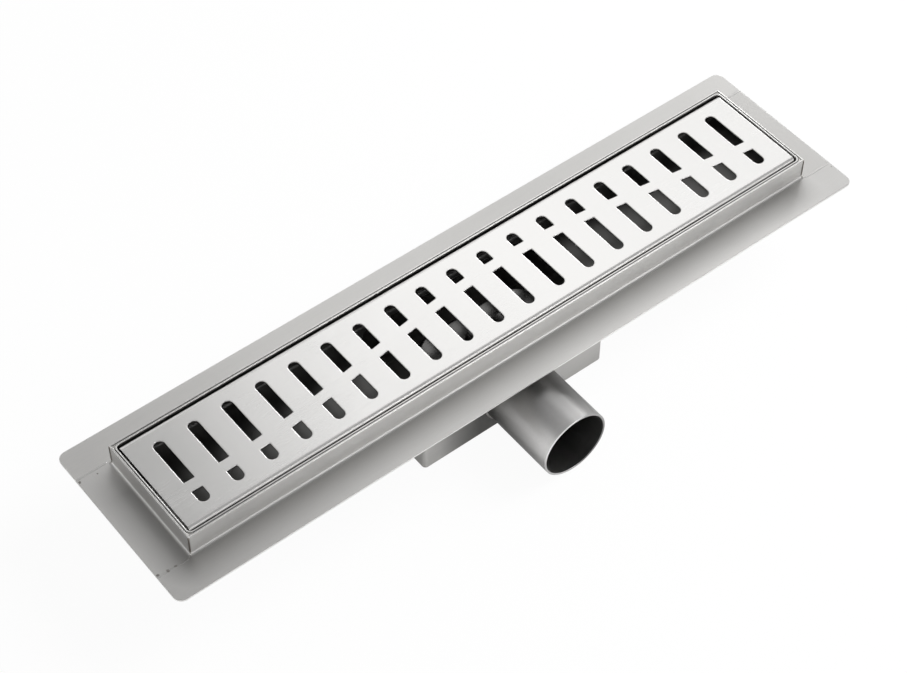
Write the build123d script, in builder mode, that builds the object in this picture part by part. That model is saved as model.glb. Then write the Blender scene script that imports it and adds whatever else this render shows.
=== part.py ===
from build123d import *
import os
from math import cos, pi

# Linear shower drain: a folded stainless trough in a flanged collar, a sump with a side
# outlet and a removable water trap below it, and a slotted grate that rests inside.
# Millimetres. X runs along the drain, the outlet points to -Y, +Z is up, and the origin
# is the middle of the sump's underside.

# Sheet and fits
sheet = 1.2            # wall of every folded piece but the grate
groove = 0.3           # gap between two sheets that stand side by side
edge_round = 0.35      # rounding of the two sheet edges that make the rim

# Collar and flange
collar_length = 500.0
collar_width = 86.0
collar_height = 17.0   # rim above the top of the flange
flange_margin = 25.0
flange_corner = 6.0
foot_bend = 2.0        # radius in the angle where the flange turns up

# Outlet pipe
outlet_diameter = 50.0
outlet_wall = 1.5
outlet_reach = 60.0    # pipe in front of the sump
outlet_clear_below = 1.8
outlet_clear_above = 1.0
mouth_chamfer = 0.3

# Trough
trough_depth = 24.8    # rim down to the floor beside the sump
trough_corner = 4.2
trough_bend = 3.2
floor_fall = 3.0       # rise of the floor from the sump to each end
drain_hole_ledge = 5.0  # floor left around the hole, inside the sump's walls
drain_hole_corner = 10.0

# Sump
sump_length = 150.0
sump_corner = 3.0
sump_bend = 1.5

# Water trap: a fixed weir around the outlet, and a cover that dips below the weir's lip
weir_width = 62.0
weir_depth = 34.0
weir_height = 36.8     # lip above the sump's floor
weir_bend = 10.0
cover_width = 97.0
cover_depth = 49.8
cover_corner = 20.0
cover_bend = 2.5
cover_clear_above = 0.7  # cover's top below the trough's floor
seal_depth = 24.0      # cover's edge below the weir's lip
leg_width = 10.0
leg_offset = 18.0      # back legs, from the middle
side_leg_offset = 12.0  # side legs, behind the cover's front edge
gasket_thickness = 3.0
gasket_width = 1.8
handle_span = 30.0
handle_foot = 7.0
handle_rise = 8.0
handle_width = 10.0
handle_bend = 2.2
handle_setback = 24.8  # behind the cover's front edge

# Grate
grate_sheet = 1.5
grate_gap = 1.5        # to the trough's walls, all round
grate_bend = 3.0       # outside radius of its folded sides
grate_fold = 10.0      # height of its folded sides
slot_pitch = 25.1
slot_end_margin = 12.0  # least plain metal past the last column of slots
slot_width = 8.0
slot_span = 55.2       # over both slots of a column
slot_corner = 0.8
band_width = 8.0       # solid band that waves between the two slots
wave_height = 13.0
wave_length = 496.0
wave_low = -208.0      # where the band comes nearest to the front

# Rests for the grate
rest_offset = 162.5    # along X from the middle
rest_length = 16.0
rest_reach = 6.5       # ledge out from the trough's wall
rest_height = 8.0
rest_bend = 1.7
pad_thickness = 1.5
pad_length = 14.0
pad_width = 4.4

# Levels and half sizes that follow
sump_floor = sheet
outlet_radius = outlet_diameter / 2
outlet_axis = sump_floor + outlet_clear_below + outlet_radius
floor_under = outlet_axis + outlet_radius + outlet_clear_above
floor_top = floor_under + sheet
rim_top = floor_top + trough_depth
flange_top = rim_top - collar_height
flange_under = flange_top - sheet
half_collar = collar_length / 2
half_width = collar_width / 2
half_flange = half_collar + flange_margin
flange_edge = half_width + flange_margin
trough_outer_length = collar_length - 2 * (sheet + groove)
trough_outer_width = collar_width - 2 * (sheet + groove)
trough_inner_length = trough_outer_length - 2 * sheet
trough_inner_width = trough_outer_width - 2 * sheet
sump_inside = half_width - sheet
weir_lip = sump_floor + weir_height
cover_top = floor_under - cover_clear_above
cover_edge = weir_lip - seal_depth
cover_front = gasket_thickness - sump_inside
cover_back = cover_front + cover_depth
grate_half_length = trough_inner_length / 2 - grate_gap
grate_half_width = trough_inner_width / 2 - grate_gap
slot_room = 2 * (grate_half_length - slot_end_margin) - slot_width
slot_count = 1 + int(slot_room / slot_pitch)
fold_bottom = rim_top - grate_fold
wall_face = trough_inner_width / 2
rest_top = fold_bottom - pad_thickness
seam = half_width + foot_bend    # flat seam between a long flange and an end flange
mitre_end = half_collar + foot_bend

# Long side of the collar: flange, bend and upright skirt, mitred at both ends
with BuildPart() as front_flange:
    with BuildSketch(Plane.YZ):
        with BuildLine():
            FilletPolyline(
                (-flange_edge, flange_top), (-half_width, flange_top), (-half_width, rim_top),
                radius=foot_bend,
            )
            offset(amount=sheet, side=Side.RIGHT)
        make_face()
    extrude(amount=half_flange, both=True)
    with BuildSketch() as plan:
        with BuildLine():
            Polyline(
                (-half_flange, -flange_edge), (half_flange, -flange_edge),
                (half_flange, -seam), (mitre_end, -seam), (mitre_end - seam, 0),
                (seam - mitre_end, 0), (-mitre_end, -seam), (-half_flange, -seam),
                close=True,
            )
        make_face()
        fillet(plan.vertices().group_by(Axis.Y)[0], radius=flange_corner)
    extrude(amount=rim_top, mode=Mode.INTERSECT)
    fillet(front_flange.faces().sort_by(Axis.Z)[-1].edges().filter_by(Axis.X), radius=edge_round)

with BuildPart() as rear_flange:
    mirror(front_flange.part, about=Plane.XZ)

# End of the collar, between the two long sides
with BuildPart() as left_flange:
    with BuildSketch(Plane.XZ):
        with BuildLine():
            FilletPolyline(
                (-half_flange, flange_top), (-half_collar, flange_top), (-half_collar, rim_top),
                radius=foot_bend,
            )
            offset(amount=sheet, side=Side.RIGHT)
        make_face()
    extrude(amount=seam, both=True)
    with BuildSketch():
        with BuildLine():
            Polyline(
                (-half_flange, -seam), (-mitre_end, -seam), (seam - mitre_end, 0),
                (-mitre_end, seam), (-half_flange, seam),
                close=True,
            )
        make_face()
    extrude(amount=rim_top, mode=Mode.INTERSECT)
    fillet(left_flange.faces().sort_by(Axis.Z)[-1].edges().filter_by(Axis.Y), radius=edge_round)

with BuildPart() as right_flange:
    mirror(left_flange.part, about=Plane.YZ)

# Trough: one sheet folded up into walls, its floor falling from both ends to the sump
flat_floor = sump_length / 2 + sump_corner
with BuildPart() as trough:
    with BuildSketch(Plane.XZ):
        with BuildLine():
            Polyline(
                (-trough_outer_length / 2, rim_top),
                (-trough_outer_length / 2, floor_under + floor_fall),
                (-flat_floor, floor_under),
                (flat_floor, floor_under),
                (trough_outer_length / 2, floor_under + floor_fall),
                (trough_outer_length / 2, rim_top),
                close=True,
            )
        make_face()
    extrude(amount=trough_outer_width / 2, both=True)
    fillet(trough.edges().filter_by(Axis.Z), radius=trough_corner)
    below = trough.edges().filter_by_position(Axis.Z, floor_under, floor_under + floor_fall)
    breaks = below.filter_by(Axis.Y).filter_by_position(Axis.X, -flat_floor, flat_floor)
    fillet(below - breaks, radius=trough_bend)
    offset(amount=-sheet, openings=trough.faces().sort_by(Axis.Z)[-1])
    with BuildSketch(Plane.XY.offset(floor_under)):
        RectangleRounded(
            sump_length - 2 * (sheet + drain_hole_ledge),
            2 * (sump_inside - drain_hole_ledge),
            drain_hole_corner,
        )
    extrude(amount=2 * sheet, mode=Mode.SUBTRACT)
    fillet(trough.faces().sort_by(Axis.Z)[-1].edges(), radius=edge_round)

# Sump: a box folded from one sheet, with a tab on each long side that laps the trough
with BuildPart() as sump_box:
    with BuildSketch():
        RectangleRounded(sump_length, collar_width, sump_corner)
    extrude(amount=floor_under)
    fillet(sump_box.faces().sort_by(Axis.Z)[0].edges(), radius=sump_bend)
    offset(amount=-sheet, openings=sump_box.faces().sort_by(Axis.Z)[-1])
    with BuildSketch(Plane.XY.offset(floor_under)):
        with GridLocations(0, 2 * half_width - sheet, 1, 2):
            Rectangle(sump_length - 2 * sump_corner, sheet)
    extrude(amount=flange_under - floor_under)
    with BuildSketch(Plane.XZ.offset(sump_inside)):
        with Locations((0, outlet_axis)):
            Circle(outlet_radius - outlet_wall)
    extrude(amount=sheet, both=True, mode=Mode.SUBTRACT)

# Outlet: a plain tube that stands on the sump's front wall, round its hole
with BuildPart() as outlet_pipe:
    with BuildSketch(Plane.XZ.offset(half_width)):
        with Locations((0, outlet_axis)):
            Circle(outlet_radius)
            Circle(outlet_radius - outlet_wall, mode=Mode.SUBTRACT)
    extrude(amount=outlet_reach)
    chamfer(outlet_pipe.faces().sort_by(Axis.Y)[0].edges(), length=mouth_chamfer)

# Weir: a sheet bent round the outlet, its two ends against the sump's front wall
with BuildPart() as trap_weir:
    with BuildSketch(Plane.XY.offset(sump_floor)):
        with BuildLine():
            FilletPolyline(
                (-weir_width / 2, -sump_inside),
                (-weir_width / 2, weir_depth - sump_inside),
                (weir_width / 2, weir_depth - sump_inside),
                (weir_width / 2, -sump_inside),
                radius=weir_bend,
            )
            offset(amount=sheet, side=Side.RIGHT)
        make_face()
    extrude(amount=weir_height)
    feet = trap_weir.faces().sort_by(Axis.Z)[0].edges().filter_by(Axis.X).group_by(Axis.Y)[0]
    chamfer(feet, length=sump_bend)

# Trap cover: a pressed cap, open below and in front, standing on legs of its own sheet
with BuildPart() as trap_cover:
    with BuildSketch(Plane.XY.offset(cover_edge)) as plan:
        with Locations((0, (cover_front + cover_back) / 2)):
            Rectangle(cover_width, cover_depth)
        fillet(plan.vertices().group_by(Axis.Y)[-1], radius=cover_corner)
    extrude(amount=cover_top - cover_edge)
    cap_edges = trap_cover.faces().sort_by(Axis.Z)[-1].edges()
    fillet(cap_edges - cap_edges.group_by(Axis.Y)[0], radius=cover_bend)
    offset(
        amount=-sheet,
        openings=[trap_cover.faces().sort_by(Axis.Z)[0], trap_cover.faces().sort_by(Axis.Y)[0]],
    )
    with BuildSketch(Plane.XY.offset(sump_floor)):
        with Locations((-leg_offset, cover_back - sheet / 2), (leg_offset, cover_back - sheet / 2)):
            Rectangle(leg_width, sheet)
        with Locations((0, cover_front + side_leg_offset)):
            with GridLocations(cover_width - sheet, 0, 2, 1):
                Rectangle(sheet, leg_width)
    extrude(amount=cover_edge - sump_floor)

# Gasket: a rubber strip between the cover's front edge and the sump's wall
with BuildPart() as trap_gasket:
    with BuildSketch(Plane.XZ.offset(-cover_front)) as ring:
        with Locations((0, (cover_top + cover_edge) / 2)):
            Rectangle(cover_width, cover_top - cover_edge)
        fillet(ring.vertices().group_by(Axis.Y)[-1], radius=cover_bend)
        with Locations((0, (cover_top + cover_edge) / 2 - gasket_width)):
            Rectangle(cover_width - 2 * gasket_width, cover_top - cover_edge, mode=Mode.SUBTRACT)
    extrude(amount=gasket_thickness)

# Handle: a bent strip on the cover, to lift it out
with BuildPart() as trap_handle:
    with BuildSketch(Plane.XZ.offset(-cover_front - handle_setback)):
        with BuildLine():
            FilletPolyline(
                (-handle_span / 2 - handle_foot, cover_top + sheet),
                (-handle_span / 2, cover_top + sheet),
                (-handle_span / 2, cover_top + handle_rise),
                (handle_span / 2, cover_top + handle_rise),
                (handle_span / 2, cover_top + sheet),
                (handle_span / 2 + handle_foot, cover_top + sheet),
                radius=handle_bend,
            )
            offset(amount=sheet, side=Side.RIGHT)
        make_face()
    extrude(amount=handle_width / 2, both=True)

# Grate: a strip folded down along both sides, with a pair of slots in each column
with BuildPart() as grate:
    with BuildSketch(Plane.YZ):
        with BuildLine():
            FilletPolyline(
                (-grate_half_width, fold_bottom), (-grate_half_width, rim_top),
                (grate_half_width, rim_top), (grate_half_width, fold_bottom),
                radius=grate_bend,
            )
            offset(amount=grate_sheet, side=Side.RIGHT)
        make_face()
    extrude(amount=grate_half_length, both=True)
    for column in range(slot_count):
        middle = (column - (slot_count - 1) / 2) * slot_pitch
        left = middle - slot_width / 2
        right = middle + slot_width / 2
        band_left = -wave_height * cos(2 * pi * (left - wave_low) / wave_length)
        band_right = -wave_height * cos(2 * pi * (right - wave_low) / wave_length)
        for side in (-1, 1):
            shoulder = side * (slot_span - slot_width) / 2
            tip = side * slot_span / 2
            with BuildSketch(Plane.XY.offset(rim_top)) as slot:
                with BuildLine():
                    Polyline(
                        (left, shoulder),
                        (left, band_left + side * band_width / 2),
                        (right, band_right + side * band_width / 2),
                        (right, shoulder),
                    )
                    ThreePointArc((left, shoulder), (middle, tip), (right, shoulder))
                make_face()
                across = slot.vertices().sort_by(Axis.Y)
                fillet(across[:2] if side > 0 else across[-2:], radius=slot_corner)
            extrude(amount=-2 * grate_sheet, mode=Mode.SUBTRACT)

# Grate rest: a bracket on the trough's wall, with a rubber pad under the grate's edge
with BuildPart() as grate_rest_front_left:
    with BuildSketch(Plane.YZ.offset(-rest_offset)):
        with BuildLine():
            FilletPolyline(
                (rest_reach - wall_face, rest_top), (-wall_face, rest_top),
                (-wall_face, rest_top - rest_height),
                radius=rest_bend,
            )
            offset(amount=sheet, side=Side.LEFT)
        make_face()
    extrude(amount=rest_length / 2, both=True)

with BuildPart() as rest_pad_front_left:
    with BuildSketch(Plane.XY.offset(rest_top)):
        with Locations((-rest_offset, rest_bend + pad_width / 2 - wall_face)):
            Rectangle(pad_length, pad_width)
    extrude(amount=pad_thickness)

with BuildPart() as grate_rest_front_right:
    mirror(grate_rest_front_left.part, about=Plane.YZ)

with BuildPart() as rest_pad_front_right:
    mirror(rest_pad_front_left.part, about=Plane.YZ)

with BuildPart() as grate_rest_rear_left:
    mirror(grate_rest_front_left.part, about=Plane.XZ)

with BuildPart() as rest_pad_rear_left:
    mirror(rest_pad_front_left.part, about=Plane.XZ)

with BuildPart() as grate_rest_rear_right:
    mirror(grate_rest_rear_left.part, about=Plane.YZ)

with BuildPart() as rest_pad_rear_right:
    mirror(rest_pad_rear_left.part, about=Plane.YZ)

pieces = {
    "front_flange": front_flange,
    "rear_flange": rear_flange,
    "left_flange": left_flange,
    "right_flange": right_flange,
    "trough": trough,
    "sump_box": sump_box,
    "outlet_pipe": outlet_pipe,
    "trap_weir": trap_weir,
    "trap_cover": trap_cover,
    "trap_gasket": trap_gasket,
    "trap_handle": trap_handle,
    "grate": grate,
    "grate_rest_front_left": grate_rest_front_left,
    "grate_rest_front_right": grate_rest_front_right,
    "grate_rest_rear_left": grate_rest_rear_left,
    "grate_rest_rear_right": grate_rest_rear_right,
    "rest_pad_front_left": rest_pad_front_left,
    "rest_pad_front_right": rest_pad_front_right,
    "rest_pad_rear_left": rest_pad_rear_left,
    "rest_pad_rear_right": rest_pad_rear_right,
}
os.makedirs("parts", exist_ok=True)
for name, piece in pieces.items():
    piece.part.label = name
    export_step(piece.part, f"parts/{name}.step")
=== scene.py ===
import math
import random

import bmesh
import bpy
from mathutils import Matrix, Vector


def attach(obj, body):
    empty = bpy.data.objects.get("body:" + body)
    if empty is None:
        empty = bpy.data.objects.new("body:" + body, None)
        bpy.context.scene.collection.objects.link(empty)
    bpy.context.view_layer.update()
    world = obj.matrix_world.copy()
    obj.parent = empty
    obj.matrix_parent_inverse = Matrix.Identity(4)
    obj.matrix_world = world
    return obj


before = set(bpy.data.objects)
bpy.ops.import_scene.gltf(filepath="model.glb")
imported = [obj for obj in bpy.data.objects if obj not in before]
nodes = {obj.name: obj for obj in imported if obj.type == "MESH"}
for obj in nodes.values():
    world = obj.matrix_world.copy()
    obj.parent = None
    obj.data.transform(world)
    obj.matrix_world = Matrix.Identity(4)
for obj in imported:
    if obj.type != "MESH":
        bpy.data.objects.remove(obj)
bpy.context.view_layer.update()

MM = 0.001

# Places in the frame, in millimetres, as the CAD has them
COLLAR_X, COLLAR_Y = 250.0, 43.0            # half sides of the collar
FLANGE_X = 275.0                            # half length of the flange
FLANGE_TOP, FLANGE_UNDER = 63.0, 61.8
RIM_TOP = 80.0
SEAM_Y = 45.0                               # flat seams between the flange's strips
TROUGH_X, TROUGH_Y = 248.5, 41.5            # half sides of the trough
TROUGH_CORNER = 4.2
GROOVE = 0.3                                # between the trough and the skirt round it
FLOOR_UNDER = 54.0                          # underside of the trough's floor
SUMP_X = 75.0                               # half length of the sump
PIPE_Z, PIPE_RADIUS = 28.0, 25.0

# Bands over which a look changes, in millimetres
BEND = (64.0, 66.5)                         # up the bend between flange and skirt
EDGE = (79.0, 79.3)                         # up to the polished edges of the rim, which carry a painted highlight
NEAR_EDGE = (78.0, 79.0)                    # up to where the groove's painted shade counts
INSIDE = (77.5, 79.0)                       # up the trough's wall to its rim, over which its painted shade lifts
SLOT_WALL = (77.5, 78.7)                    # up the walls of the grate's slots, over which their painted shade lifts
GROOVE_DARK = (0.36, 0.48)                  # away from the middle of the groove, over which its painted shade fades
SOFT, SOFT_SLOT = 0.7, 1.0                  # radius by which the look of edges is rounded

# Grain of a sheet: stretch of its noise along each axis
ALONG_X, ALONG_Y = (1.5, 60, 60), (60, 1.5, 60)

# Rounded edges of the grate: upright share of their normal, and how much smoother they are
TILT_LOW, TILT_HIGH = 0.25, 0.94
TILT_SMOOTHER = 0.12


# Node helpers: ns and ls are the nodes and the links of a node tree
def material(name, colour, roughness, metallic=1.0):
    """A material with its own node tree; returns it with its nodes, links and shader."""
    m = bpy.data.materials.new(name)
    m.use_nodes = True
    nt = m.node_tree
    shader = nt.nodes["Principled BSDF"]
    shader.inputs["Base Color"].default_value = (*colour, 1.0)
    shader.inputs["Roughness"].default_value = roughness
    shader.inputs["Metallic"].default_value = metallic
    return m, nt.nodes, nt.links, shader


def tree(m):
    """Nodes, links and shader of a material."""
    nt = m.node_tree
    return nt.nodes, nt.links, nt.nodes["Principled BSDF"]


def place(ns):
    """Socket with the object's own coordinates."""
    return ns.new("ShaderNodeTexCoord").outputs["Object"]


def split(ns, ls, value):
    """Sockets X, Y and Z of a vector socket."""
    node = ns.new("ShaderNodeSeparateXYZ")
    ls.new(value, node.inputs[0])
    return node.outputs


def vector(ns, ls, operation, a, b=None):
    """Sockets of a vector maths node; a is a socket and b a fixed vector."""
    node = ns.new("ShaderNodeVectorMath")
    node.operation = operation
    ls.new(a, node.inputs[0])
    if b is not None:
        node.inputs[1].default_value = b
    return node.outputs


def maths(ns, ls, operation, a, b=0.0):
    """Result of a maths node; a and b are sockets or numbers."""
    node = ns.new("ShaderNodeMath")
    node.operation = operation
    for socket, value in zip(node.inputs, (a, b)):
        if isinstance(value, (int, float)):
            socket.default_value = value
        else:
            ls.new(value, socket)
    return node.outputs["Value"]


def noise(ns, ls, scale, stretch, detail=4.0, rough=0.55, seed=0.0):
    """Noise over the object's own coordinates, stretched by a factor along each axis."""
    mapping = ns.new("ShaderNodeMapping")
    mapping.inputs["Scale"].default_value = stretch
    mapping.inputs["Location"].default_value = (seed, seed * 0.7, seed * 1.3)
    ls.new(place(ns), mapping.inputs["Vector"])
    tex = ns.new("ShaderNodeTexNoise")
    tex.inputs["Scale"].default_value = scale
    tex.inputs["Detail"].default_value = detail
    tex.inputs["Roughness"].default_value = rough
    ls.new(mapping.outputs["Vector"], tex.inputs["Vector"])
    return tex.outputs["Fac"]


def span(ns, ls, value, low, high, from_low=0.3, from_high=0.7):
    """Value from one range to another."""
    r = ns.new("ShaderNodeMapRange")
    r.inputs["From Min"].default_value = from_low
    r.inputs["From Max"].default_value = from_high
    r.inputs["To Min"].default_value = low
    r.inputs["To Max"].default_value = high
    ls.new(value, r.inputs["Value"])
    return r.outputs["Result"]


def banded(ns, ls, axis, low, high, start, end):
    """A number that goes from low to high along an axis, between two places in millimetres."""
    return span(ns, ls, split(ns, ls, place(ns))[axis], low, high, start * MM, end * MM)


def between(ns, ls, t, a, b):
    """A number that goes from a to b as t goes from 0 to 1; each is a socket or a number."""
    step = maths(ns, ls, "SUBTRACT", b, a)
    return maths(ns, ls, "ADD", maths(ns, ls, "MULTIPLY", step, t), a)


def multiplied(ns, ls, colour, shade):
    """A colour, fixed or a socket, times a grey socket."""
    mix = ns.new("ShaderNodeMix")
    mix.data_type = "RGBA"
    mix.blend_type = "MULTIPLY"
    mix.inputs["Factor"].default_value = 1.0
    if isinstance(colour, tuple):
        mix.inputs["A"].default_value = (*colour, 1.0)
    else:
        ls.new(colour, mix.inputs["A"])
    ls.new(shade, mix.inputs["B"])
    return mix.outputs["Result"]


def bumped(ns, ls, shader, height, strength, distance, soft=0.0):
    """Bump from a height socket; soft rounds the look of the edges by that many millimetres."""
    bump = ns.new("ShaderNodeBump")
    if soft:
        edge = ns.new("ShaderNodeBevel")
        edge.samples = 4
        edge.inputs["Radius"].default_value = soft * MM
        ls.new(edge.outputs["Normal"], bump.inputs["Normal"])
    bump.inputs["Strength"].default_value = strength
    bump.inputs["Distance"].default_value = distance
    ls.new(height, bump.inputs["Height"])
    ls.new(bump.outputs["Normal"], shader.inputs["Normal"])


# Steel
def brushed(
    name, colour, roughness, grain, depth=0.03, tint=0.06, seed=0.0, along="X", spread=0.0, soft=0.0
):
    """Brushed or rolled stainless sheet: fine grain in bump and roughness, soft clouds in colour.
    The grain runs as the grain stretch sets it; along is read only with spread, which stretches
    reflections across that axis."""
    m, ns, ls, shader = material(name, colour, roughness)
    if spread:
        shader.inputs["Anisotropic"].default_value = spread
        tangent = ns.new("ShaderNodeTangent")
        tangent.direction_type = "RADIAL"
        tangent.axis = along
        ls.new(tangent.outputs["Tangent"], shader.inputs["Tangent"])
    fine = noise(ns, ls, 60.0, grain, 3.0, 0.6, seed)
    cloud = noise(ns, ls, 14.0, (1, 1, 1), 5.0, 0.6, seed + 3.1)
    shade = maths(
        ns, ls, "MULTIPLY",
        span(ns, ls, fine, 1 - tint, 1 + tint * 0.4),
        span(ns, ls, cloud, 1 - tint * 0.5, 1 + tint * 0.3),
    )
    ls.new(multiplied(ns, ls, colour, shade), shader.inputs["Base Color"])
    rough = maths(
        ns, ls, "ADD",
        span(ns, ls, fine, roughness - 0.03, roughness + 0.03),
        span(ns, ls, cloud, -0.02, 0.03),
    )
    ls.new(rough, shader.inputs["Roughness"])
    bumped(ns, ls, shader, fine, depth, 0.4 * MM, soft)
    return m


def painted_light(m, shade):
    """The material with painted light and shade: its base colour times a shade, a function that
    makes a grey socket.
    """
    ns, ls, shader = tree(m)
    was = shader.inputs["Base Color"].links[0].from_socket
    ls.new(multiplied(ns, ls, was, shade(ns, ls)), shader.inputs["Base Color"])
    return m


def roughened(m, operation, change):
    """The material with a change added to its roughness or subtracted from it."""
    ns, ls, shader = tree(m)
    was = shader.inputs["Roughness"].links[0].from_socket
    ls.new(maths(ns, ls, operation, was, change(ns, ls)), shader.inputs["Roughness"])
    return m


def painted_groove_shade(ns, ls):
    """Painted shade of the rim, dark beside the groove between its two sheets."""
    x, y, _ = split(ns, ls, vector(ns, ls, "ABSOLUTE", place(ns))["Vector"])
    off = maths(
        ns, ls, "MAXIMUM",
        maths(ns, ls, "SUBTRACT", x, (TROUGH_X + GROOVE / 2) * MM),
        maths(ns, ls, "SUBTRACT", y, (TROUGH_Y + GROOVE / 2) * MM),
    )
    start, end = GROOVE_DARK
    dark = span(ns, ls, maths(ns, ls, "ABSOLUTE", off), 0.35, 1.0, start * MM, end * MM)
    return between(ns, ls, banded(ns, ls, "Z", 0.0, 1.0, *NEAR_EDGE), 1.0, dark)


def polished_painted_rim(m, colour=1.16, smoother=0.20):
    """The material with a smooth edge at the rim, painted bright as a highlight, and painted shade
    beside the groove.
    """
    painted_light(m, lambda ns, ls: banded(ns, ls, "Z", 1.0, colour, *EDGE))
    painted_light(m, painted_groove_shade)
    return roughened(m, "SUBTRACT", lambda ns, ls: banded(ns, ls, "Z", 0.0, smoother, *EDGE))


def from_collar(ns, ls):
    """Distance outside the collar's rectangle, in metres, over the flange."""
    value = vector(ns, ls, "ABSOLUTE", place(ns))["Vector"]
    for operation, by in (
        ("SUBTRACT", (COLLAR_X * MM, COLLAR_Y * MM, 0)), ("MAXIMUM", (0, 0, 0)),
        ("MULTIPLY", (1, 1, 0)),
    ):
        value = vector(ns, ls, operation, value, by)["Vector"]
    return vector(ns, ls, "LENGTH", value)["Value"]


def painted_foot_shade(skirt):
    """Painted shade of the flange and its skirt. The flange is painted dark along its front and
    left bends, where the skirt's shadow and reflection fall, less so on the bends themselves, which
    keep a painted bright line, and a little darker at its right end."""
    def result(ns, ls):
        off = from_collar(ns, ls)
        near = maths(
            ns, ls, "MINIMUM",
            span(ns, ls, off, 0.46, 0.0, 3.5 * MM, 24.0 * MM),
            span(ns, ls, off, 0.20, 0.46, 1.2 * MM, 2.2 * MM),
        )
        along = maths(
            ns, ls, "MULTIPLY",
            banded(ns, ls, "Y", 1.0, 0.0, 18.0, 42.0),
            banded(ns, ls, "X", 1.0, 0.0, 235.0, 255.0),
        )
        flat = maths(
            ns, ls, "MULTIPLY",
            maths(ns, ls, "SUBTRACT", 1.0, maths(ns, ls, "MULTIPLY", near, along)),
            banded(ns, ls, "X", 1.0, 0.84, 200.0, 262.0),
        )
        return between(ns, ls, banded(ns, ls, "Z", 0.0, 1.0, *BEND), flat, skirt)
    return result


def painted_rear_shade(ns, ls):
    """Painted shade of the rear flange, darker to the right, and of its skirt."""
    flat = banded(ns, ls, "X", 1.0, 0.83, -120.0, 100.0)
    return between(ns, ls, banded(ns, ls, "Z", 0.0, 1.0, *BEND), flat, 0.72)


def painted_sump_shadow(ns, ls):
    """Painted shadow on the sump's front wall: dark beside the pipe on its left, and painted a
    little lighter further left.
    """
    left = banded(ns, ls, "X", 1.15, 0.45, -62.0, -30.0)
    right = banded(ns, ls, "X", 0.0, 1.0, 0.0, 28.0)
    front = banded(ns, ls, "Y", 1.0, 0.0, -42.8, -42.0)
    return between(ns, ls, front, 1.0, maths(ns, ls, "MAXIMUM", left, right))


def painted_pipe_shade(ns, ls):
    """Painted shade of the pipe, for the flange and the floor's shadow mirrored in it: darker
    towards the flange and low down, much darker on its right, and a little lighter on its left.
    """
    reach = maths(
        ns, ls, "MULTIPLY",
        banded(ns, ls, "Y", 1.0, 0.40, -98.0, -58.0),
        banded(ns, ls, "Z", 0.58, 1.0, 27.0, 38.0),
    )
    right = banded(ns, ls, "Y", 0.50, 0.40, -101.0, -80.0)
    across = banded(ns, ls, "X", 0.0, 1.0, -8.0, 8.0)
    return maths(ns, ls, "MULTIPLY", reach, between(ns, ls, across, 1.12, right))


def painted_grate_shade(ns, ls):
    """Painted shade of the grate: full on top, a little darker towards its right end, and dark
    below its top, down the slots' walls.
    """
    level = banded(ns, ls, "Z", 0.12, 1.0, *SLOT_WALL)
    return maths(ns, ls, "MULTIPLY", level, banded(ns, ls, "X", 1.0, 0.89, 40.0, 240.0))


def tilted(ns, ls):
    """Less roughness on the rounded edges, where the normal is neither upright nor level."""
    z = split(ns, ls, ns.new("ShaderNodeNewGeometry").outputs["Normal"])["Z"]
    tilt = maths(
        ns, ls, "MULTIPLY",
        maths(ns, ls, "GREATER_THAN", z, TILT_LOW), maths(ns, ls, "LESS_THAN", z, TILT_HIGH),
    )
    return maths(ns, ls, "MULTIPLY", tilt, TILT_SMOOTHER)


def folds(ns, ls):
    """0.3 on the grate's folded sides, 0 between them."""
    front = banded(ns, ls, "Y", 0.3, 0.0, -37.0, -35.5)
    rear = banded(ns, ls, "Y", 0.0, 0.3, 35.5, 37.0)
    return maths(ns, ls, "ADD", front, rear)


# The four flange sheets are one steel: their base colours and the brightness of their rims differ
# as painted light and shade, the rear lightest and the right darkest
FRONT_SHEET = brushed(
    "collar_steel", (0.83, 0.822, 0.806), 0.42, ALONG_X, tint=0.035, seed=1.0, spread=0.6, soft=SOFT
)
polished_painted_rim(painted_light(FRONT_SHEET, painted_foot_shade(1.0)), colour=1.16)
REAR_SHEET = brushed(
    "collar_rear_steel", (0.93, 0.92, 0.90), 0.42, ALONG_X, tint=0.035, seed=3.0, spread=0.6,
    soft=SOFT,
)
polished_painted_rim(painted_light(REAR_SHEET, painted_rear_shade), colour=1.35)
LEFT_SHEET = brushed(
    "collar_left_steel", (0.78, 0.772, 0.757), 0.42, ALONG_Y, tint=0.035, seed=1.0, soft=SOFT
)
polished_painted_rim(painted_light(LEFT_SHEET, painted_foot_shade(0.97)), colour=1.15)
RIGHT_SHEET = brushed(
    "collar_right_steel", (0.60, 0.593, 0.58), 0.42, ALONG_Y, tint=0.035, seed=7.0, soft=SOFT
)
polished_painted_rim(RIGHT_SHEET, colour=1.3)
# The trough is bright at its rim and painted dark inside, as shade
TROUGH = brushed(
    "trough_steel", (0.80, 0.792, 0.776), 0.42, (1.5, 40, 40), depth=0.05, seed=5.0, soft=SOFT
)
polished_painted_rim(painted_light(TROUGH, lambda ns, ls: banded(ns, ls, "Z", 0.36, 1.0, *INSIDE)))
SUMP = brushed(
    "sump_steel", (0.58, 0.573, 0.56), 0.40, (1.5, 30, 30), depth=0.05, tint=0.05, seed=9.0
)
painted_light(SUMP, painted_sump_shadow)
PIPE = brushed(
    "pipe_steel", (0.80, 0.793, 0.786), 0.40, (8, 8, 8), depth=0.01, tint=0.03, seed=4.0
)
painted_light(PIPE, painted_pipe_shade)
# The trap's cover is dark for steel, as painted shade inside the sump, with painted light along its
# back edge that fades towards the front
TRAP = brushed(
    "trap_steel", (0.36, 0.356, 0.35), 0.24, (1.5, 24, 24), depth=0.05, tint=0.07, seed=6.0
)
painted_light(TRAP, lambda ns, ls: banded(ns, ls, "Y", 0.10, 0.66, -16.0, -2.0))
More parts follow.
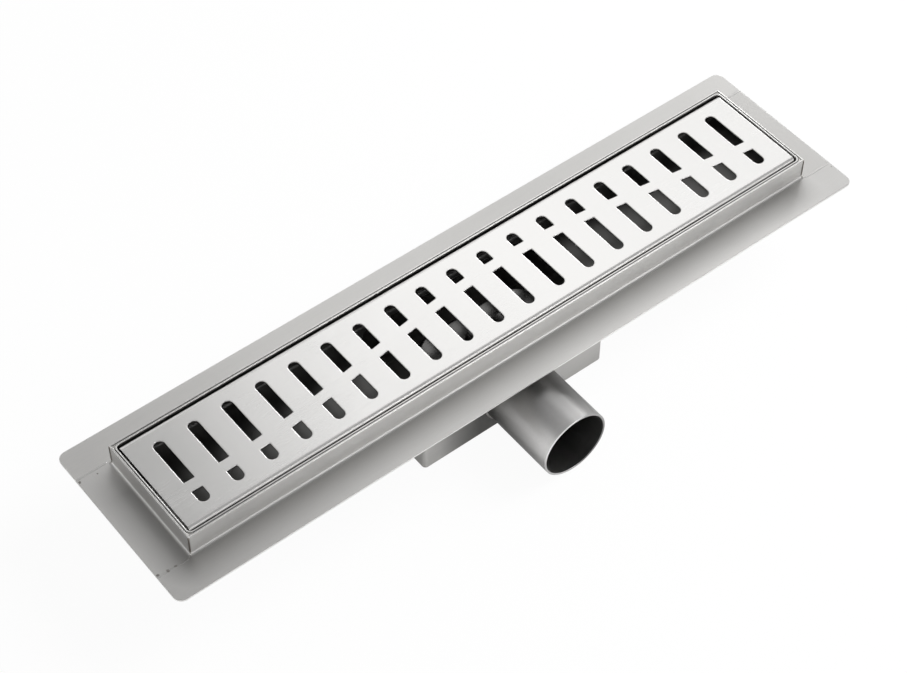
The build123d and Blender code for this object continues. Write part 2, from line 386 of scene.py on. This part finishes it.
# The grate has smooth slot edges and rougher folds, and painted shade below its top and at its
# right end
GRATE = brushed(
    "grate_steel", (0.92, 0.912, 0.898), 0.24, (1, 34, 34), tint=0.02, seed=2.0, soft=SOFT_SLOT
)
roughened(roughened(painted_light(GRATE, painted_grate_shade), "SUBTRACT", tilted), "ADD", folds)
SEAM = brushed(
    "seam_steel", (0.75, 0.742, 0.727), 0.42, (12, 12, 12), depth=0.02, tint=0.05, seed=8.0
)
# The flat seams take the flange's painted shade
painted_light(SEAM, painted_foot_shade(1.0))
MARK = brushed(
    "mark_steel", (0.42, 0.405, 0.385), 0.50, (14, 14, 14), depth=0.15, tint=0.20, seed=15.0
)
WELD = brushed(
    "weld_steel", (0.70, 0.685, 0.66), 0.34, (12, 12, 12), depth=0.10, tint=0.16, seed=11.0
)
TINT = brushed(
    "weld_tint", (0.30, 0.275, 0.25), 0.50, (14, 14, 14), depth=0.20, tint=0.30, seed=13.0
)


def rubber():
    """Black rubber with a fine grit."""
    m, ns, ls, shader = material("black_rubber", (0.02, 0.02, 0.02), 0.65, 0.0)
    grit = noise(ns, ls, 400.0, (1, 1, 1))
    ls.new(span(ns, ls, grit, 0.55, 0.75), shader.inputs["Roughness"])
    bumped(ns, ls, shader, grit, 0.2, 0.1 * MM)
    return m


RUBBER = rubber()

FINISH = {
    "front_flange": FRONT_SHEET, "rear_flange": REAR_SHEET,
    "left_flange": LEFT_SHEET, "right_flange": RIGHT_SHEET,
    "trough": TROUGH, "sump_box": SUMP, "outlet_pipe": PIPE, "grate": GRATE,
    "trap_gasket": RUBBER,
}
for name, obj in nodes.items():
    finish = FINISH.get(name, RUBBER if name.startswith("rest_pad") else TRAP)
    for s in obj.material_slots:
        s.material = finish

# Punched edges of the grate: a fine round that catches the light
modifiers = nodes["grate"].modifiers
joined = modifiers.new("joined", "WELD")
joined.merge_threshold = 0.001 * MM
one_face = modifiers.new("one_face", "DECIMATE")
one_face.decimate_type = "DISSOLVE"
one_face.angle_limit = math.radians(0.5)
punched_edge = modifiers.new("punched_edge", "BEVEL")
punched_edge.width = 0.60 * MM
punched_edge.segments = 3
punched_edge.limit_method = "ANGLE"
punched_edge.angle_limit = math.radians(50)
flat_faces = modifiers.new("flat_faces", "WEIGHTED_NORMAL")
flat_faces.weight = 100

# Welds, in millimetres
rng = random.Random(21)
CORNERS = [(sx, sy) for sx in (-1, 1) for sy in (-1, 1)]
BEAD_ROUGH = 0.06                           # random share of a bead's radius
BEAD_END = (0.25, 0.70, 0.92, 1.0)          # share of the radius from an end inwards
BLOB_ROUGH = 0.12                           # random share of a drop's size
BLOB_LONG = 1.25                            # how much longer than wide a drop is


def piece(name, bm, finish):
    """A new piece of the part from a bmesh in millimetres."""
    bmesh.ops.recalc_face_normals(bm, faces=bm.faces)
    me = bpy.data.meshes.new(name)
    bm.to_mesh(me)
    bm.free()
    for v in me.vertices:
        v.co *= MM
    for f in me.polygons:
        f.use_smooth = True
    me.materials.append(finish)
    o = bpy.data.objects.new(name, me)
    bpy.context.scene.collection.objects.link(o)
    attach(o, "root")


def join_rings(bm, a, b):
    """Faces between two closed rings of as many vertices."""
    n = len(a)
    for k in range(n):
        bm.faces.new((a[k], a[(k + 1) % n], b[(k + 1) % n], b[k]))


def add_bead(bm, path, radius, ripple=0.10, wave=1.3, sides=10, closed=False, flat=1.0):
    """A weld bead along a path: a tube that ripples, with round ends unless it is closed.
    The ripple is a share of the radius, wave its length, and flat the bead's height as a share."""
    n = len(path)
    rings = []
    run = 0.0
    for i, p in enumerate(path):
        before = path[i - 1] if i or closed else path[i]
        after = path[(i + 1) % n] if i < n - 1 or closed else path[i]
        ahead = (after - before).normalized()
        across = ahead.cross(Vector((0, 0, 1)))
        if across.length < 0.1:
            across = ahead.cross(Vector((0, 1, 0)))
        across.normalize()
        up = across.cross(ahead).normalized()
        if i:
            run += (p - path[i - 1]).length
        swell = ripple * math.sin(2 * math.pi * run / wave)
        size = radius * (1 + swell + rng.uniform(-BEAD_ROUGH, BEAD_ROUGH))
        if not closed:
            size *= BEAD_END[min(i, n - 1 - i, len(BEAD_END) - 1)]
        ring = []
        for k in range(sides):
            a = 2 * math.pi * k / sides
            side = across * size * math.cos(a) + up * size * flat * math.sin(a)
            ring.append(bm.verts.new(p + side))
        rings.append(ring)
    for a, b in zip(rings, rings[1:] + rings[:1] if closed else rings[1:]):
        join_rings(bm, a, b)
    if not closed:
        bm.faces.new(rings[0])
        bm.faces.new(rings[-1])


def line(a, b, step):
    """Points from a to b about a step apart."""
    a, b = Vector(a), Vector(b)
    n = max(4, round((b - a).length / step))
    return [a.lerp(b, i / n) for i in range(n + 1)]


def add_blob(bm, centre, size, flat):
    """A drop of metal: a small lumpy ball, flattened by a factor."""
    made = bmesh.ops.create_icosphere(bm, subdivisions=2, radius=1.0)
    turn = rng.uniform(0, math.pi)
    for v in made["verts"]:
        x, y, z = v.co * (1 + rng.uniform(-BLOB_ROUGH, BLOB_ROUGH))
        v.co = Vector(centre) + Vector((
            size * (BLOB_LONG * x * math.cos(turn) - y * math.sin(turn)),
            size * (BLOB_LONG * x * math.sin(turn) + y * math.cos(turn)),
            size * flat * z,
        ))


# Upright seams of the collar, with a drop of weld at the foot of each
SEAM_INSET = 0.12
bm = bmesh.new()
for sx, sy in CORNERS:
    x, y = sx * (COLLAR_X - SEAM_INSET), sy * (COLLAR_Y - SEAM_INSET)
    path = line((x, y, FLANGE_TOP + 1.6), (x, y, RIM_TOP - 0.35), 0.45)
    add_bead(bm, path, 0.60, ripple=0.06, wave=1.1)
piece("corner_seams", bm, TINT)
bm = bmesh.new()
for sx, sy in CORNERS:
    centre = (sx * (COLLAR_X + 0.5), sy * (COLLAR_Y + 0.4), FLANGE_TOP + 0.6)
    add_blob(bm, centre, 0.8, 1.1)
piece("corner_drops", bm, WELD)

# Pool of weld in each corner of the rim, outside the groove, a little hollow across
POOL_TOP, POOL_BOTTOM = 79.62, 77.0
POOL_DIP, POOL_ROUGH = 0.10, 0.03
POOL_STEPS, POOL_ROWS = 16, 5
SKIRT_X, SKIRT_Y = TROUGH_X + GROOVE, TROUGH_Y + GROOVE
ARC_X, ARC_Y = TROUGH_X - TROUGH_CORNER, TROUGH_Y - TROUGH_CORNER
ARC = TROUGH_CORNER + GROOVE
bm = bmesh.new()
for sx, sy in CORNERS:
    rings = []
    for i in range(POOL_STEPS + 1):
        a = math.radians(90 * i / POOL_STEPS)
        near = Vector((ARC_X + ARC * math.cos(a), ARC_Y + ARC * math.sin(a)))
        t = 2 * i / POOL_STEPS
        far = Vector((SKIRT_X - ARC * max(0, t - 1), SKIRT_Y - ARC * max(0, 1 - t)))
        wide = min(1, 4 * math.sin(math.pi * i / POOL_STEPS))
        ring = [bm.verts.new((sx * near.x, sy * near.y, POOL_BOTTOM))]
        for k in range(POOL_ROWS):
            share = k / (POOL_ROWS - 1)
            p = near.lerp(far, share)
            dip = POOL_DIP * math.sin(math.pi * share) + rng.uniform(-POOL_ROUGH, POOL_ROUGH)
            ring.append(bm.verts.new((sx * p.x, sy * p.y, POOL_TOP - dip * wide)))
        ring.append(bm.verts.new((sx * far.x, sy * far.y, POOL_BOTTOM)))
        rings.append(ring)
    for a, b in zip(rings, rings[1:]):
        join_rings(bm, a, b)
bmesh.ops.remove_doubles(bm, verts=bm.verts, dist=0.01)
piece("rim_corners", bm, WELD)

# Flat seams of the flange: ground nearly flush on top, a rough bead below
bm_top, bm_under = bmesh.new(), bmesh.new()
for sx, sy in CORNERS:
    y = sy * SEAM_Y
    path = line(
        (sx * (COLLAR_X + 2.5), y, FLANGE_TOP), (sx * (FLANGE_X - 0.4), y, FLANGE_TOP), 0.5
    )
    add_bead(bm_top, path, 0.85, ripple=0.12, wave=1.7, sides=8, flat=0.035)
    path = line(
        (sx * (COLLAR_X - 3), y, FLANGE_UNDER), (sx * (FLANGE_X - 1.5), y, FLANGE_UNDER), 0.4
    )
    add_bead(bm_under, path, 1.5, ripple=0.12, wave=1.8, flat=0.40)
piece("flange_seams", bm_top, SEAM)
piece("flange_seam_beads", bm_under, WELD)

# Dark marks beside the seams: place and size of each
MARKS = (
    (-273.6, 42.4, 0.9), (-261.5, 41.3, 0.5), (-273.6, -43.6, 0.9), (-267.2, -44.7, 1.0),
    (-261.7, -44.7, 0.9), (273.4, -48.6, 0.4),
)
bm = bmesh.new()
for x, y, size in MARKS:
    add_blob(bm, (x, y, FLANGE_TOP), size, 0.15)
piece("weld_marks", bm, MARK)

# Bead round the root of the outlet pipe
ROOT_STEPS = 150
ROOT_RADIUS = PIPE_RADIUS + 0.2
around = []
for i in range(ROOT_STEPS):
    a = 2 * math.pi * i / ROOT_STEPS
    x, z = ROOT_RADIUS * math.cos(a), PIPE_Z + ROOT_RADIUS * math.sin(a)
    around.append(Vector((x, -COLLAR_Y - 0.2, z)))
bm = bmesh.new()
add_bead(bm, around, 1.15, wave=2.1, closed=True)
piece("pipe_weld", bm, WELD)

# Beads along the sump's ends under the trough, and up its corners to the flange
bm = bmesh.new()
for sx in (-1, 1):
    x, z = sx * (SUMP_X + 0.1), FLOOR_UNDER - 0.1
    add_bead(bm, line((x, -38, z), (x, 38, z), 0.5), 1.1, ripple=0.12, wave=2.0)
    for sy in (-1, 1):
        x, y = sx * (SUMP_X - 2.9), sy * (COLLAR_Y - 0.9)
        path = line((x, y, FLOOR_UNDER + 0.3), (x, y, FLANGE_UNDER - 0.6), 0.5)
        add_bead(bm, path, 0.8, ripple=0.12, wave=1.8)
piece("sump_welds", bm, WELD)


# Studio
def mirrored(ns, ls, path):
    """1 for glossy and transmission rays, else 0."""
    return maths(
        ns, ls, "MAXIMUM", path.outputs["Is Glossy Ray"], path.outputs["Is Transmission Ray"]
    )


def mixed(ns, ls, factor, a, b):
    """Mix of two shaders."""
    mix = ns.new("ShaderNodeMixShader")
    if isinstance(factor, float):
        mix.inputs[0].default_value = factor
    else:
        ls.new(factor, mix.inputs[0])
    ls.new(a, mix.inputs[1])
    ls.new(b, mix.inputs[2])
    return mix.outputs[0]


# Floor, white with a share of the lit floor, and with it of the object's shadow. In the
# metal's reflections that share fades with the distance from the middle, in metres
FLOOR_SIDE, FLOOR_LEVEL = 8.0, -0.1 * MM
FLOOR_SEEN, FLOOR_MIRRORED = 0.05, 0.85
FLOOR_NEAR, FLOOR_FAR = 0.35, 0.8


def floor_white():
    """Material of the floor."""
    m = bpy.data.materials.new("floor_white")
    m.use_nodes = True
    ns, ls, lit = tree(m)
    lit.inputs["Base Color"].default_value = (0.9, 0.9, 0.9, 1)
    lit.inputs["Roughness"].default_value = 0.8
    lit.inputs["Specular IOR Level"].default_value = 0.0
    white = ns.new("ShaderNodeEmission")
    white.inputs["Strength"].default_value = 1.0
    path = ns.new("ShaderNodeLightPath")
    seen = mixed(ns, ls, FLOOR_SEEN, white.outputs[0], lit.outputs[0])
    reach = vector(ns, ls, "LENGTH", place(ns))["Value"]
    near = span(ns, ls, reach, FLOOR_MIRRORED, 0.0, FLOOR_NEAR, FLOOR_FAR)
    glossed = mixed(ns, ls, near, white.outputs[0], lit.outputs[0])
    unseen = mixed(ns, ls, mirrored(ns, ls, path), lit.outputs[0], glossed)
    ls.new(
        mixed(ns, ls, path.outputs["Is Camera Ray"], unseen, seen),
        ns["Material Output"].inputs["Surface"],
    )
    m.cycles.emission_sampling = "NONE"
    return m


half = FLOOR_SIDE / 2
floor_mesh = bpy.data.meshes.new("floor")
floor_mesh.from_pydata(
    [(-half, -half, 0), (half, -half, 0), (half, half, 0), (-half, half, 0)], [], [(0, 1, 2, 3)]
)
floor = bpy.data.objects.new("floor", floor_mesh)
floor.location = (0, 0, FLOOR_LEVEL)
bpy.context.scene.collection.objects.link(floor)
floor.data.materials.append(floor_white())

# White backdrop, which in the metal's reflections fades to a dimmer ceiling
WORLD_LEVEL = 0.35
CEILING_NEAR, CEILING_FAR = 0.12, 0.36      # above the front left, and above the rear right
FADE_LOW, FADE_HIGH = 0.25, 0.65            # sine of the elevation
TO_THE_FAR = (0.70, 0.71, 0.0)


def studio():
    """World with that backdrop."""
    w = bpy.data.worlds.new("studio")
    w.use_nodes = True
    w.cycles.sampling_method = "NONE"
    ns, ls = w.node_tree.nodes, w.node_tree.links
    plain = ns["Background"]
    plain.inputs["Color"].default_value = (1, 1, 1, 1)
    plain.inputs["Strength"].default_value = WORLD_LEVEL
    towards = ns.new("ShaderNodeTexCoord").outputs["Generated"]
    side = vector(ns, ls, "DOT_PRODUCT", towards, TO_THE_FAR)["Value"]
    fade = ns.new("ShaderNodeMapRange")
    fade.interpolation_type = "SMOOTHSTEP"
    fade.inputs["From Min"].default_value = FADE_LOW
    fade.inputs["From Max"].default_value = FADE_HIGH
    fade.inputs["To Min"].default_value = 1.0
    ls.new(span(ns, ls, side, CEILING_NEAR, CEILING_FAR, -0.5, 0.5), fade.inputs["To Max"])
    ls.new(split(ns, ls, towards)["Z"], fade.inputs["Value"])
    ceiling = ns.new("ShaderNodeBackground")
    ceiling.inputs["Color"].default_value = (1, 1, 1, 1)
    ls.new(fade.outputs["Result"], ceiling.inputs["Strength"])
    backdrop = ns.new("ShaderNodeBackground")
    backdrop.inputs["Color"].default_value = (1, 1, 1, 1)
    backdrop.inputs["Strength"].default_value = 1.0
    path = ns.new("ShaderNodeLightPath")
    unseen = mixed(ns, ls, mirrored(ns, ls, path), plain.outputs[0], ceiling.outputs[0])
    ls.new(
        mixed(ns, ls, path.outputs["Is Camera Ray"], unseen, backdrop.outputs[0]),
        ns["World Output"].inputs["Surface"],
    )
    return w


bpy.context.scene.world = studio()

# Lamps, which all stand as far from the middle of the drain
LAMP_AIM = Vector((0, 0, 0.06))
LAMP_DISTANCE = 2.4


def softbox(name, azimuth, elevation, width, radiance, height=None, mirrored_too=True):
    """A round lamp, or an upright strip if it has a height.
    Its radiance is how bright it shows in a mirror, where white is 1."""
    d = bpy.data.lights.new(name, "AREA")
    d.size = width
    if height is None:
        d.shape = "DISK"
        area = math.pi * (width / 2) ** 2
    else:
        d.shape = "RECTANGLE"
        d.size_y = height
        area = width * height
    d.energy = radiance * math.pi * area
    o = bpy.data.objects.new(name, d)
    a, e = math.radians(azimuth), math.radians(elevation)
    v = Vector((math.cos(e) * math.cos(a), math.cos(e) * math.sin(a), math.sin(e)))
    o.location = LAMP_AIM + v * LAMP_DISTANCE
    o.rotation_euler = (-v).to_track_quat("-Z", "Y").to_euler()
    o.visible_glossy = mirrored_too
    bpy.context.scene.collection.objects.link(o)


softbox("key", 42, 45, 1.60, 0.70)
softbox("floor_key", -20, 42, 1.60, 9.0, mirrored_too=False)
# Two low lamps that draw the rounded edges
softbox("edge_right", 31, 16, 0.30, 5.5, height=1.20)
softbox("edge_front", -63, 28, 0.90, 3.0)

# Camera
cam_data = bpy.data.cameras.new("camera")
cam_data.sensor_width = 36.0
cam_data.lens = 89.414
cam_data.clip_start = 0.05
cam_data.clip_end = 20
cam = bpy.data.objects.new("camera", cam_data)
cam.location = (-0.59497, -0.73298, 1.17423)
cam.rotation_euler = (math.radians(39.73), math.radians(-0.02), math.radians(-38.21))
bpy.context.scene.collection.objects.link(cam)
bpy.context.scene.camera = cam
bpy.context.scene.view_settings.view_transform = "Standard"
